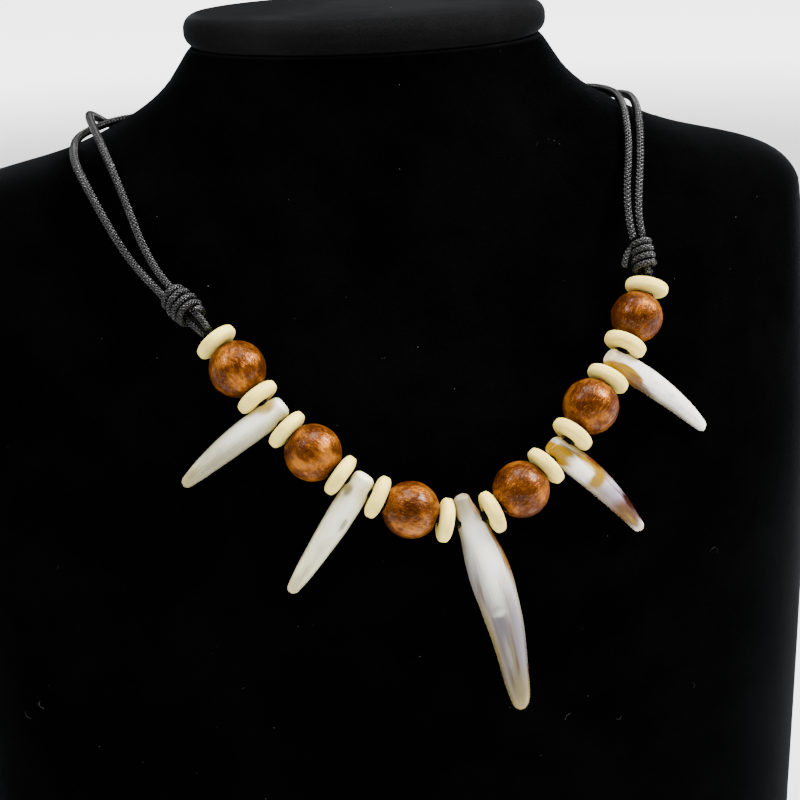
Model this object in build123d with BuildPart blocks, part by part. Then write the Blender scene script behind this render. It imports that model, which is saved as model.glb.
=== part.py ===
"""A tooth-and-bead necklace on a low neck bust. Millimetres, +Z up, the chest faces -Y.

The origin is on the bust's flat base, straight below the middle of the neck. Left and right
are as seen by someone who looks at the chest.
"""

import math
import os
from collections import namedtuple

from build123d import *

# The bust
BUST_HEIGHT = 225.0
SHOULDER_WIDTH = 208.0
CHEST_REACH = 61.0
BACK_REACH = 44.0
NECK_WIDTH = 80.0
NECK_DEPTH = 47.0
CAP_THICKNESS = 7.6
CAP_OVERHANG = 1.2
CAP_ROUNDING = 3.4
SEAM_GAP = 0.1

# The beads and the thread that they hang on
ROUND_BEAD = 12.2
LAST_ROUND_BEAD = 11.3
ROUND_BEAD_LENGTH = 0.905
DISC = 9.4
DISC_THICKNESS = 3.2
DISC_FLAT = 4.2
DISC_RIM = 1.1
DISC_BULGE = 0.2
BEAD_BORE = 3.0
THREAD = 2.0
PIECE_GAP = 0.15
SEAT_GAP = 0.3

# The teeth: four small ones and a main one
SMALL_TOOTH = 30.0
SMALL_WIDTH = 5.9
SMALL_DEPTH = 5.1
MAIN_TOOTH = 55.6
MAIN_WIDTH = 9.2
MAIN_DEPTH = 7.5
TOOTH_BORE = 2.6
BUTT_ROUNDING = 0.8

# The knots: a barrel of turns, and a neck on the side where the thread comes in
LEFT_KNOT = 8.4
LEFT_KNOT_LENGTH = 8.0
LEFT_NECK = 4.4
LEFT_NECK_LENGTH = 3.9
RIGHT_KNOT = 7.0
RIGHT_KNOT_LENGTH = 7.5
RIGHT_NECK = 4.4
RIGHT_NECK_LENGTH = 0.6
KNOT_ROUNDING = 1.2
KNOT_BORE_GAP = 0.4

# The two cords that close the necklace behind the neck
CORD = 2.0

# Level sections of the bust. drop is how far down from the neck's top, as a share of the way
# to the base. The others say how far the section has gone from the neck's size to the full
# one: width to the shoulders', front to the chest's reach, back to the back's reach.
BUST_SECTIONS = (
    # drop, width, front, back
    (0.000, 0.000, 0.000, 0.000),
    (0.034, 0.083, 0.035, 0.060),
    (0.068, 0.227, 0.080, 0.160),
    (0.091, 0.383, 0.120, 0.250),
    (0.112, 0.600, 0.155, 0.340),
    (0.135, 0.867, 0.200, 0.430),
    (0.170, 0.980, 0.275, 0.560),
    (0.250, 1.000, 0.440, 0.750),
    (0.342, 1.000, 0.735, 0.880),
    (0.430, 1.000, 0.970, 0.960),
    (0.530, 1.005, 1.000, 1.000),
    (1.000, 1.035, 0.740, 1.000),
)
FLARE_DROPS = (0.0, 0.034, 0.068, 0.091, 0.112, 0.135, 0.17, 0.23, 0.295)
TRUNK_STARTS = 0.092
TRUNK_LOFTS = 10
SHOULDER_DROP = 0.17

# A tooth's width and bow along it, as shares of its own largest ones. place runs from the
# butt to the middle of the ball that rounds the tip.
SMALL_FORM = (
    # place, width, bow
    (0.0, 0.72, 0.00),
    (0.1, 0.84, 0.27),
    (0.2, 0.96, 0.46),
    (0.3, 1.00, 0.67),
    (0.4, 0.99, 0.88),
    (0.5, 0.95, 0.98),
    (0.6, 0.89, 1.00),
    (0.7, 0.81, 0.94),
    (0.8, 0.72, 0.83),
    (0.9, 0.60, 0.63),
    (1.0, 0.44, 0.36),
)
MAIN_FORM = (
    # place, width, bow
    (0.0, 0.36, 0.00),
    (0.1, 0.53, 0.21),
    (0.2, 0.77, 0.54),
    (0.3, 0.95, 0.73),
    (0.4, 1.00, 0.86),
    (0.5, 0.95, 0.96),
    (0.6, 0.89, 1.00),
    (0.7, 0.80, 0.94),
    (0.8, 0.70, 0.73),
    (0.9, 0.60, 0.52),
    (1.0, 0.40, 0.28),
)
TOOTH_LOFTS = 11
TIP_ROUNDS = 4
TIP_INSET = 0.3
TIP_BALL = 0.98

# The two kinds of tooth
Kind = namedtuple("Kind", "length width depth form")
SMALL = Kind(SMALL_TOOTH, SMALL_WIDTH, SMALL_DEPTH, SMALL_FORM)
MAIN = Kind(MAIN_TOOTH, MAIN_WIDTH, MAIN_DEPTH, MAIN_FORM)

# The five teeth from the left. length and width are shares of the kind's. hole, the thread's
# place down from the butt, and bow, to the right, are shares of the tooth's length. turn is in
# degrees to the right, from square to the thread. room is the slack that the tooth has on the
# thread, as a share of its width there.
Tooth = namedtuple("Tooth", "kind length width hole bow turn room")
TEETH = (
    Tooth(SMALL, length=0.965, width=1.00, hole=0.115, bow=-0.018, turn=-5.4, room=0.10),
    Tooth(SMALL, length=1.06, width=0.99, hole=0.095, bow=0.005, turn=-2.3, room=0.07),
    Tooth(MAIN, length=1.00, width=1.00, hole=0.107, bow=0.032, turn=8.4, room=0.28),
    Tooth(SMALL, length=1.06, width=1.00, hole=0.085, bow=0.038, turn=2.6, room=0.10),
    Tooth(SMALL, length=1.04, width=0.98, hole=0.085, bow=0.039, turn=-0.1, room=0.075),
)
MIDDLE_TOOTH = 3
LEAN_LIMITS = (-15.0, 30.0)
LEAN_STEPS = 12

Knot = namedtuple("Knot", "name size length neck neck_length")
KNOTS = (
    Knot("knot_left", LEFT_KNOT, LEFT_KNOT_LENGTH, LEFT_NECK, LEFT_NECK_LENGTH),
    Knot("knot_right", RIGHT_KNOT, RIGHT_KNOT_LENGTH, RIGHT_NECK, RIGHT_NECK_LENGTH),
)

# Where the thread passes over the chest, from the left. rise is how far it stands off the
# chest there, as a share of what a round bead needs.
STRING_ROUTE = (
    # x, z, rise
    (-52.5, 175.2, 0.72),
    (-37.0, 159.6, 1.02),
    (-27.6, 145.2, 1.07),
    (-10.4, 130.6, 1.06),
    (8.1, 123.6, 1.03),
    (17.4, 124.4, 1.03),
    (32.6, 134.2, 1.08),
    (46.2, 148.6, 1.10),
    (53.6, 160.4, 1.05),
    (55.9, 165.4, 0.96),
    (53.8, 178.6, 0.74),
)
STRING_MIDDLE = (12.3, 124.2, 1.0)

# The cords' routes, from the left knot up over the shoulder, round the back of the neck and
# down to the right knot. Cord A starts on the outside, and passes under cord B on the shoulder.
CORD_A_ROUTE = (
    (-47.8, -38.9, 170.0),
    (-50.8, -36.9, 172.8),
    (-56.0, -31.2, 178.0),
    (-60.2, -27.8, 185.2),
    (-64.0, -22.4, 191.8),
    (-67.0, -14.0, 195.8),
    (-67.4, -3.6, 198.6),
    (-63.3, 5.3, 199.4),
    (-56.7, 13.8, 199.8),
    (-44.5, 22.9, 198.3),
    (-28.3, 28.9, 196.2),
    (-9.1, 31.8, 194.4),
    (11.1, 31.6, 194.6),
    (29.3, 28.7, 196.2),
    (43.6, 22.9, 198.7),
    (52.8, 13.9, 201.7),
    (57.4, 4.5, 202.4),
    (58.0, -6.0, 202.2),
    (57.2, -15.0, 198.6),
    (56.0, -23.0, 193.2),
    (54.0, -29.4, 186.8),
    (53.6, -33.8, 179.8),
    (54.3, -35.2, 176.4),
)
CORD_B_ROUTE = (
    (-46.1, -38.5, 171.5),
    (-48.9, -36.6, 174.1),
    (-52.6, -31.6, 180.4),
    (-55.0, -28.2, 187.4),
    (-58.4, -20.6, 195.2),
    (-61.8, -9.0, 200.6),
    (-64.3, 2.2, 203.2),
    (-63.6, 10.6, 201.2),
    (-59.1, 18.5, 196.4),
    (-46.4, 26.7, 194.0),
    (-29.2, 31.8, 190.7),
    (-10.1, 33.9, 189.0),
    (8.1, 34.2, 188.4),
    (27.2, 31.8, 191.2),
    (44.4, 25.4, 195.7),
    (56.2, 15.7, 199.0),
    (61.6, 5.4, 201.2),
    (61.6, -5.4, 201.2),
    (60.2, -15.2, 197.6),
    (58.5, -23.4, 192.2),
    (56.8, -29.2, 186.4),
    (55.8, -33.2, 180.0),
    (56.5, -34.6, 176.7),
)
ARC_SHARE = 0.45

neck_top = BUST_HEIGHT - CAP_THICKNESS - SEAM_GAP


def between(start, end, share):
    """The value that lies that share of the way from start to end."""
    return start + (end - start) * share


def slopes(xs, ys):
    """Slopes of a smooth curve through the points that never overshoots them."""
    steps = [(y1 - y0) / (x1 - x0) for x0, x1, y0, y1 in zip(xs, xs[1:], ys, ys[1:])]
    inner = [
        0.0 if before * after <= 0 else 2 * before * after / (before + after)
        for before, after in zip(steps, steps[1:])
    ]
    return [steps[0], *inner, steps[-1]]


def smooth_value(rows, column, x):
    """The table's column at x, on a smooth curve through its rows. Column 0 holds the places."""
    xs = [row[0] for row in rows]
    ys = [row[column] for row in rows]
    rates = slopes(xs, ys)
    i = max(k for k in range(len(xs) - 1) if xs[k] <= x)
    span = xs[i + 1] - xs[i]
    t = (x - xs[i]) / span
    return (
        ys[i] * (1 + 2 * t) * (1 - t) ** 2
        + rates[i] * span * t * (1 - t) ** 2
        + ys[i + 1] * t**2 * (3 - 2 * t)
        + rates[i + 1] * span * t**2 * (t - 1)
    )


def bust_loft(drops, keep):
    """The bust lofted through level sections, cut off at the shoulders' level."""
    with BuildPart() as stretch:
        for drop in drops:
            width, front, back = (smooth_value(BUST_SECTIONS, k, drop) for k in (1, 2, 3))
            half_width = between(NECK_WIDTH, SHOULDER_WIDTH, width) / 2
            front = between(NECK_DEPTH / 2, CHEST_REACH, front)
            back = between(NECK_DEPTH / 2, BACK_REACH, back)
            with BuildSketch(Plane((0, (back - front) / 2, neck_top * (1 - drop)))):
                Ellipse(half_width, (back + front) / 2)
        loft()
        split(bisect_by=Plane.XY.offset(neck_top * (1 - SHOULDER_DROP)), keep=keep)
    return stretch.part


def chest_point(x, z, rise):
    """The point of the thread's route that lies in front of the chest at x and z."""
    to_the_back = Axis((x, -SHOULDER_WIDTH, z), (0, 1, 0))
    on_chest, off_chest = bust_body.part.find_intersection_points(to_the_back)[0]
    return on_chest + off_chest * rise * (ROUND_BEAD / 2 + SEAT_GAP)


def route_radii(points):
    """The largest arc that each corner of a route has room for."""
    radii = []
    for before, corner, after in zip(points, points[1:], points[2:]):
        run_in = corner - before
        run_out = after - corner
        half_turn = math.radians(run_in.get_angle(run_out) / 2)
        radii.append(ARC_SHARE * min(run_in.length, run_out.length) / math.tan(half_turn))
    return radii


def route_path(points):
    """Straight runs between the points, joined by tangent arcs."""
    with BuildLine() as line:
        FilletPolyline(*points, radius=route_radii(points))
    return line.wires()[0]


def tube(path, diameter):
    """A plain round tube along a path."""
    with BuildPart() as piece:
        with BuildSketch(Plane(path @ 0, z_dir=path % 0)):
            Circle(diameter / 2)
        sweep(path=path)
    return piece


def seat_at(distance):
    """A plane across the thread there. Its x points off the chest and its y down the chest."""
    share = distance / string_path.length
    point = string_path.position_at(share)
    on_chest = bust_body.part.closest_points(point)[0]
    return Plane(point, x_dir=point - on_chest, z_dir=string_path.tangent_at(share))


def along_plane(seat):
    """The plane that holds the thread's line at a seat. Its x points off the chest."""
    return Plane(seat.origin, x_dir=seat.x_dir, z_dir=-seat.y_dir)


def thread_axis(seat):
    """The thread's line at a seat."""
    return Axis(seat.origin, seat.z_dir)


def ball_size(number):
    """The diameter of a round bead, counted from the left."""
    return LAST_ROUND_BEAD if number == len(TEETH) + 1 else ROUND_BEAD


def round_bead(seat, number):
    """A ball with small flat ends, drilled for the thread."""
    size = ball_size(number)
    with BuildPart() as bead:
        with BuildSketch(along_plane(seat)):
            Circle(size / 2)
            with Locations(((BEAD_BORE + size) / 2, 0)):
                Rectangle(size, size * ROUND_BEAD_LENGTH, mode=Mode.INTERSECT)
        revolve(axis=thread_axis(seat))
    return bead


def disc_bead(seat, number):
    """A flat bead with sloping sides that bulge a little, and a narrow rim."""
    half = DISC_THICKNESS / 2
    with BuildPart() as bead:
        with BuildSketch(along_plane(seat)):
            with BuildLine():
                Line((BEAD_BORE / 2, -half), (BEAD_BORE / 2, half))
                Line((BEAD_BORE / 2, half), (DISC_FLAT / 2, half))
                SagittaArc((DISC_FLAT / 2, half), (DISC / 2, DISC_RIM / 2), DISC_BULGE)
                Line((DISC / 2, DISC_RIM / 2), (DISC / 2, -DISC_RIM / 2))
                SagittaArc((DISC / 2, -DISC_RIM / 2), (DISC_FLAT / 2, -half), DISC_BULGE)
                Line((DISC_FLAT / 2, -half), (BEAD_BORE / 2, -half))
            make_face()
        revolve(axis=thread_axis(seat))
    return bead


def tooth_sections(number):
    """The tooth's sections from its butt, as (down, side, half width, half depth).

    down and side are measured from the hole, down the tooth and to the right.
    """
    row = TEETH[number - 1]
    kind = row.kind
    length = row.length * kind.length
    width = row.width * kind.width
    roundness = kind.depth / kind.width
    tip_ball = width * kind.form[-1][1] / 2
    bow = row.bow * length
    sections = []
    for step in range(TOOTH_LOFTS):
        place = step / (TOOTH_LOFTS - 1)
        down = place * (length - tip_ball) - row.hole * length
        side = bow * (
            smooth_value(kind.form, 2, place) - smooth_value(kind.form, 2, row.hole)
        )
        half_width = width / 2 * smooth_value(kind.form, 1, place)
        half_depth = half_width * between(roundness, 1, place**TIP_ROUNDS)
        sections.append((down, side, half_width, half_depth))
    return sections


def tooth_plane(seat, turn, lean):
    """The tooth's own plane: x to the right, y off the chest and z up the tooth."""
    hang = seat.y_dir.rotate(Axis((0, 0, 0), seat.z_dir), lean)
    turning = Axis((0, 0, 0), seat.x_dir)
    return Plane(
        seat.origin, x_dir=seat.z_dir.rotate(turning, turn), z_dir=-hang.rotate(turning, turn)
    )


def chest_clearance(sections, plane):
    """How far the tooth's back stays off the chest, at the nearest of its sections."""
    gaps = []
    for down, side, _, half_depth in sections:
        middle = plane.from_local_coords(Vector(side, 0, -down))
        gaps.append(bust_body.part.distance_to(middle) - half_depth)
    return min(gaps)


def resting_lean(seat, sections, turn):
    """The angle at which a tooth that hangs on the thread comes to rest on the chest."""
    away, pressed = LEAN_LIMITS
    for _ in range(LEAN_STEPS):
        middle = (away + pressed) / 2
        if chest_clearance(sections, tooth_plane(seat, turn, middle)) > SEAT_GAP:
            away = middle
        else:
            pressed = middle
    return away


def tooth(seat, number):
    """A curved tooth of oval section with a flat butt and a ball at its tip, drilled across."""
    sections = tooth_sections(number)
    turn = TEETH[number - 1].turn
    plane = tooth_plane(seat, turn, resting_lean(seat, sections, turn))
    with BuildPart() as piece:
        for down, side, half_width, half_depth in sections:
            with BuildSketch(plane.offset(-down)):
                with Locations((side, 0)):
                    Ellipse(half_width, half_depth)
        loft()
        butt = piece.faces().sort_by(Axis(plane.origin, plane.z_dir))[-1]
        fillet(butt.edges(), BUTT_ROUNDING)
        with Locations(plane.from_local_coords(Vector(side, 0, TIP_INSET * half_width - down))):
            Sphere(TIP_BALL * half_width)
        with Locations(seat.location):
            Cylinder(TOOTH_BORE / 2, 2 * MAIN_WIDTH, mode=Mode.SUBTRACT)
    return piece


def knot(seat, number):
    """A wrapped barrel with a neck, and a blind hole that the thread's end goes into.

    The seat is the middle of both, and the neck is on the side of the beads.
    """
    row = KNOTS[number - 1]
    half = (row.neck_length + row.length) / 2
    outward = 1 if number == len(KNOTS) else -1
    bore = THREAD / 2 + KNOT_BORE_GAP
    with BuildPart() as piece:
        with BuildSketch(along_plane(seat)) as profile:
            with BuildLine():
                Polyline(
                    (bore, -half * outward),
                    (row.neck / 2, -half * outward),
                    (row.neck / 2, (row.neck_length - half) * outward),
                    (row.size / 2, (row.neck_length - half) * outward),
                    (row.size / 2, half * outward),
                    (0, half * outward),
                    (0, 0),
                    (bore, 0),
                    close=True,
                )
            make_face()
            fillet(profile.vertices().group_by(Axis.X)[-1], KNOT_ROUNDING)
        revolve(axis=thread_axis(seat))
    return piece


def thread_length(kind, number):
    """How much of the thread a piece takes up."""
    if kind == "bead_disc":
        return DISC_THICKNESS
    if kind == "bead_round":
        return ball_size(number) * ROUND_BEAD_LENGTH
    if kind == "tooth":
        row = TEETH[number - 1]
        form = smooth_value(row.kind.form, 1, row.hole)
        return form * row.width * row.kind.width * (1 + row.room)
    return KNOTS[number - 1].length + KNOTS[number - 1].neck_length


def string_order():
    """The string's pieces from the left, as (kind, number)."""
    order = [("knot", 1)]
    for number in range(1, len(TEETH) + 2):
        order += [("bead_disc", 2 * number - 1), ("bead_round", number), ("bead_disc", 2 * number)]
        if number <= len(TEETH):
            order.append(("tooth", number))
    return order + [("knot", 2)]


def lay_along(order, start, sense):
    """The pieces' seats, each a gap past the one before, and where the last one ends.

    Where the thread turns, neighbours open up by what their flat faces need to stay clear.
    """
    seats = []
    distance = start
    before = seat_at(start)
    for kind, number in order:
        length = thread_length(kind, number)
        seat = seat_at(distance + sense * (PIECE_GAP + length / 2))
        turn = math.radians(before.z_dir.get_angle(seat.z_dir))
        distance += sense * (PIECE_GAP + math.tan(turn) * DISC_FLAT / 2 + length)
        before = seat_at(distance - sense * length / 2)
        seats.append((kind, number, before))
    return seats, distance


trunk_drops = [TRUNK_STARTS] + [
    between(SHOULDER_DROP, 1, step / (TRUNK_LOFTS - 1)) for step in range(TRUNK_LOFTS)
]
with BuildPart() as bust_body:
    add(bust_loft(FLARE_DROPS, Keep.TOP))
    add(bust_loft(trunk_drops, Keep.BOTTOM))

with BuildPart() as bust_cap:
    with BuildSketch(Plane.XY.offset(neck_top + SEAM_GAP)):
        Ellipse(NECK_WIDTH / 2 + CAP_OVERHANG, NECK_DEPTH / 2 + CAP_OVERHANG)
    extrude(amount=CAP_THICKNESS)
    fillet(bust_cap.edges(), CAP_ROUNDING)

pieces = {"bust_body": bust_body, "bust_cap": bust_cap}

# The string is laid from its middle tooth outwards, to both sides
string_path = route_path([chest_point(*row) for row in STRING_ROUTE])
middle = string_path.param_at_point(string_path.closest_points(chest_point(*STRING_MIDDLE))[0])
middle *= string_path.length
middle_half = thread_length("tooth", MIDDLE_TOOTH) / 2
order = string_order()
middle_index = order.index(("tooth", MIDDLE_TOOTH))
left_seats, left_end = lay_along(order[:middle_index][::-1], middle - middle_half, -1)
right_seats, right_end = lay_along(order[middle_index + 1 :], middle + middle_half, 1)
makers = {"bead_disc": disc_bead, "bead_round": round_bead, "tooth": tooth, "knot": knot}
for kind, number, seat in [*left_seats, ("tooth", MIDDLE_TOOTH, seat_at(middle)), *right_seats]:
    name = KNOTS[number - 1].name if kind == "knot" else f"{kind}_{number}"
    pieces[name] = makers[kind](seat, number)

# The thread runs from the bottom of one knot's hole to the other's
thread_start = left_end + thread_length("knot", 1) / 2 + PIECE_GAP
thread_end = right_end - thread_length("knot", 2) / 2 - PIECE_GAP
thread_path = string_path.trim(thread_start / string_path.length, thread_end / string_path.length)
pieces["thread"] = tube(thread_path, THREAD)

for name, route in (("cord_a", CORD_A_ROUTE), ("cord_b", CORD_B_ROUTE)):
    points = [Vector(point) for point in route]
    cord_path = route_path(points)
    pieces[name] = tube(cord_path, CORD)
    expected = math.pi * (CORD / 2) ** 2 * cord_path.length
    print(name, "length", round(cord_path.length, 1))
    print(name, "radii", [round(radius, 1) for radius in route_radii(points)])
    print(name, "volume over section times length", round(pieces[name].part.volume / expected, 4))

os.makedirs("parts", exist_ok=True)
for name, piece in pieces.items():
    piece.part.label = name
    export_step(piece.part, f"parts/{name}.step")
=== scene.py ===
"""Looks of a tooth-and-bead necklace on a velvet neck bust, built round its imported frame."""

import math
from collections import namedtuple

import bmesh
import bpy
import numpy as np
from mathutils import Matrix, Vector, noise


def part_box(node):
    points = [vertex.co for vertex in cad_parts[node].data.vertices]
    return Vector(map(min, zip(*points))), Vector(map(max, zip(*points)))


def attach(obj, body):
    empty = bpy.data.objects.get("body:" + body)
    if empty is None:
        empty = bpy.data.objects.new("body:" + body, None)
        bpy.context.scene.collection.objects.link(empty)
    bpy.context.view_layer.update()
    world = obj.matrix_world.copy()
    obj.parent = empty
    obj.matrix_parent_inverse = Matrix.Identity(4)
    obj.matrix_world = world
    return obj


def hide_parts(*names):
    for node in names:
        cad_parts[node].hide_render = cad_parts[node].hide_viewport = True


bl_info = {
    "name": "Tooth Necklace on Neck Bust",
    "version": (1, 0, 0),
    "blender": (4, 5, 0),
    "location": "View3D > Sidebar > Necklace",
    "description": "Builds a tooth-and-bead necklace with sliding knots on a velvet neck bust",
    "category": "Object",
}

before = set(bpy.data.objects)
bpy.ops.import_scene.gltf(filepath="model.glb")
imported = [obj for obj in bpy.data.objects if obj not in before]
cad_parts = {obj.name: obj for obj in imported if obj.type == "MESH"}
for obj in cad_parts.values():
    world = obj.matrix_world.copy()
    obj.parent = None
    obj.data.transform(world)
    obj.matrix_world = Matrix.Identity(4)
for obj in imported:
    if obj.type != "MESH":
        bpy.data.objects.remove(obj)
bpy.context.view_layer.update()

MM = 0.001
BODY = "root"
ROUND_SEED, DISC_SEED, LINT_SEED = 4, 9, 11
MERGE = 1e-6  # metres: points nearer to each other than this are one

# The camera that the photograph was taken with, in the frame's metres and in degrees
CAMERA_PLACE = (-0.0320, -0.3906, 0.2748)
CAMERA_AZIMUTH = -5.41
CAMERA_ELEVATION = 20.35
CAMERA_ROLL = -1.96
SENSOR_WIDTH = 36.0
CLIP_START, CLIP_END = 0.01, 50.0
LIT_PLACE = (0.0, -0.06, 0.13)  # what the softboxes point at
FLOOR_SIDES = 96

BALLS = range(1, 7)
DISCS = range(1, 13)
TEETH = range(1, 6)
BUST = ("bust_body", "bust_cap")

ROUTE_STEPS = 10000  # steps of the cords' routes in a metre
PATCH_STEPS = 100  # steps of the tables of stains and painted light in a whole

# The two cords' routes in tenths of a millimetre, as in the part's source
CORD_A_ROUTE = (
    (-478, -389, 1700), (-508, -369, 1728), (-560, -312, 1780), (-602, -278, 1852),
    (-640, -224, 1918), (-670, -140, 1958), (-674, -36, 1986), (-633, 53, 1994),
    (-567, 138, 1998), (-445, 229, 1983), (-283, 289, 1962), (-91, 318, 1944),
    (111, 316, 1946), (293, 287, 1962), (436, 229, 1987), (528, 139, 2017),
    (574, 45, 2024), (580, -60, 2022), (572, -150, 1986), (560, -230, 1932),
    (540, -294, 1868), (536, -338, 1798), (543, -352, 1764),
)
CORD_B_ROUTE = (
    (-461, -385, 1715), (-489, -366, 1741), (-526, -316, 1804), (-550, -282, 1874),
    (-584, -206, 1952), (-618, -90, 2006), (-643, 22, 2032), (-636, 106, 2012),
    (-591, 185, 1964), (-464, 267, 1940), (-292, 318, 1907), (-101, 339, 1890),
    (81, 342, 1884), (272, 318, 1912), (444, 254, 1957), (562, 157, 1990),
    (616, 54, 2012), (616, -54, 2012), (602, -152, 1976), (585, -234, 1922),
    (568, -292, 1864), (558, -332, 1800), (565, -346, 1767),
)
# Each cord's route and its length in metres
CORDS = {"cord_a": (CORD_A_ROUTE, 0.2533), "cord_b": (CORD_B_ROUTE, 0.2625)}


def math_operator(operation, turned=False):
    """An operator of Value that adds a Math node. A turned one takes the other number first."""

    def method(self, other):
        pair = (other, self) if turned else (self, other)
        return self.nodes.add("ShaderNodeMath", {"operation": operation}, enumerate(pair))

    return method


class Value:
    """A number's socket in a node tree. Python's operators on it add Math nodes."""

    def __init__(self, nodes, socket):
        self.nodes = nodes
        self.socket = socket

    def __getitem__(self, key):
        """Another output of the same node."""
        return Value(self.nodes, self.socket.node.outputs[key])

    __add__ = __radd__ = math_operator("ADD")
    __mul__ = __rmul__ = math_operator("MULTIPLY")
    __sub__ = math_operator("SUBTRACT")
    __rsub__ = math_operator("SUBTRACT", turned=True)
    __truediv__ = math_operator("DIVIDE")
    __pow__ = math_operator("POWER")

    def math(self, operation, other=None):
        """A Math node on this number and, where it takes two, on the other."""
        values = {0: self, 1: other}
        return self.nodes.add("ShaderNodeMath", {"operation": operation}, values)

    def smooth(self, low, high):
        """0 below low, 1 above high, and a smooth step between."""
        settings = {"interpolation_type": "SMOOTHSTEP"}
        values = {"Value": self, "From Min": low, "From Max": high}
        return self.nodes.add("ShaderNodeMapRange", settings, values)


class Nodes:
    """A node tree of a material or of Geometry Nodes, filled by one method."""

    def __init__(self, tree, material=None):
        self.tree = tree
        self.material = material

    def add(self, kind, settings=(), values=()):
        """Adds a node with settings and with values or links, and gives its first output."""
        node = self.tree.nodes.new(kind)
        for key, setting in dict(settings).items():
            setattr(node, key, setting)
        self.fill(node, dict(values))
        return Value(self, node.outputs[0]) if node.outputs else None

    def fill(self, node, values):
        """Gives a node's sockets their values or links."""
        for key, value in values.items():
            if isinstance(value, Value):
                self.tree.links.new(value.socket, node.inputs[key])
            elif value is not None:
                node.inputs[key].default_value = value

    def shader(self, sockets):
        """Fills the sockets of a material's shader, and gives the finished material."""
        self.fill(self.tree.nodes["Principled BSDF"], sockets)
        return self.material

    def shape(self, kind, settings=(), **values):
        """A Geometry node's first output. An underscore in a socket's name is a blank there."""
        values = {key.replace("_", " "): value for key, value in values.items()}
        return self.add(f"GeometryNode{kind}", settings, values)

    def joined(self, shapes):
        join = self.shape("JoinGeometry")
        for shape in shapes:
            self.tree.links.new(shape.socket, join.socket.node.inputs[0])
        return join

    def tube(self, path, sides, radius):
        """A round tube along a curve, with closed ends."""
        ring = self.shape(
            "CurvePrimitiveCircle", {"mode": "RADIUS"}, Resolution=sides, Radius=radius
        )
        return self.shape("CurveToMesh", Curve=path, Profile_Curve=ring, Fill_Caps=True)

    def chance(self, seed, low=None, high=None):
        """A random number for each element, from low to high, or else from 0 to 1."""
        values = {2: low, 3: high, "Seed": seed}
        return self.add("FunctionNodeRandomValue", {"data_type": "FLOAT"}, values)[1]

    def vector_math(self, operation, first, second):
        values = {0: first, 1: second}
        return self.add("ShaderNodeVectorMath", {"operation": operation}, values)

    def scaled(self, vector, scale):
        """The vector times a number or, for three numbers, times each of them in turn."""
        if isinstance(scale, tuple):
            return self.vector_math("MULTIPLY", vector, scale)
        settings = {"operation": "SCALE"}
        return self.add("ShaderNodeVectorMath", settings, {0: vector, "Scale": scale})

    def vector(self, x, y, z):
        return self.add("ShaderNodeCombineXYZ", (), {0: x, 1: y, 2: z})

    def split(self, vector):
        made = self.add("ShaderNodeSeparateXYZ", (), {0: vector})
        return made[0], made[1], made[2]

    def noise(self, vector, scale, detail=2.0, roughness=0.5, distortion=0.0):
        keys = ("Vector", "Scale", "Detail", "Roughness", "Distortion")
        values = zip(keys, (vector, scale, detail, roughness, distortion))
        return self.add("ShaderNodeTexNoise", (), values)

    def mix(self, factor, first, second):
        """A colour that goes from first to second as factor goes from 0 to 1."""
        settings = {"data_type": "RGBA"}
        return self.add("ShaderNodeMix", settings, {0: factor, 6: first, 7: second})[2]

    def ramp(self, factor, stops):
        """A colour from a ramp whose stops are pairs of a place and a colour."""
        made = self.add("ShaderNodeValToRGB", (), {0: factor})
        elements = made.socket.node.color_ramp.elements
        while len(elements) < len(stops):
            elements.new(1.0)
        for element, (place, colour) in zip(elements, stops):
            element.position = place
            element.color = rgba(colour)
        return made

    def bump(self, height, strength, distance):
        values = {"Height": height, "Strength": strength, "Distance": distance}
        return self.add("ShaderNodeBump", (), values)

    def object_place(self):
        return self.add("ShaderNodeTexCoord")["Object"]

    def attribute(self, name, output="Vector"):
        return self.add("ShaderNodeAttribute", {"attribute_name": name})[output]

    def grain_place(self, spread):
        """The place on a bead, moved by the bead's own random number times spread."""
        shift = self.attribute("piece", "Fac")
        moved = self.scaled(self.vector(shift, shift, shift), spread)
        return self.vector_math("ADD", self.attribute("grain"), moved)


def rgba(colour, times=1.0):
    return (*(times * channel for channel in colour[:3]), 1.0)


def tinted(colour, tint):
    return [channel * share for channel, share in zip(colour, tint)]


def new_material(name):
    """The nodes of a new material."""
    made = bpy.data.materials.new(name)
    made.use_nodes = True
    return Nodes(made.node_tree, made)


CAP_FOOT = (0.2165, 0.2180)  # the heights between which the velvet meets the cap, painted lighter above them as painted sheen


def velvet_material(settings):
    """Black flocked pile: soft clouds where the nap lies another way, a faint sheen, and painted
    sheen on the cap.
    """
    nodes = new_material("black_velvet")
    place = nodes.object_place()
    clouds = nodes.noise(place, 38.0, 3.0, 0.6)
    pile = nodes.noise(place, 2600.0, 2.0, 0.7)
    shade = clouds.smooth(0.35, 0.7) * 0.6 + pile.smooth(0.35, 0.75) * 0.5
    # The brightest of these colours is painted sheen: the cap is painted far lighter, as where
    # light from above grazes it.
    deep, raised, wear_and_sheen = (rgba(settings.velvet_colour, times) for times in (1.0, 5.0, 36.0))
    cap = nodes.split(place)[2].smooth(*CAP_FOOT)
    colour = nodes.mix(shade, deep, raised)
    return nodes.shader({
        "Base Color": nodes.mix(cap * (0.35 + 0.5 * shade), colour, wear_and_sheen),
        "Roughness": 0.78 + 0.2 * clouds,
        "Normal": nodes.bump(pile + 0.5 * clouds, 0.5, 0.25 * MM),
        "Specular IOR Level": 0.0,
        "Sheen Weight": settings.velvet_sheen,
        "Sheen Roughness": 0.25,
        "Sheen Tint": (0.86, 0.93, 1.0, 1.0),
    })


def lint_material():
    """Dusty grey fibres and specks."""
    nodes = new_material("grey_lint")
    place = nodes.object_place()
    tone = nodes.noise(place, 220.0, 2.0, 0.6).smooth(0.38, 0.72)
    return nodes.shader({
        "Base Color": nodes.mix(tone, (0.006, 0.006, 0.007, 1), (0.075, 0.074, 0.072, 1)),
        "Roughness": 0.7 + 0.25 * tone,
        "Specular IOR Level": 0.1,
    })


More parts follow.
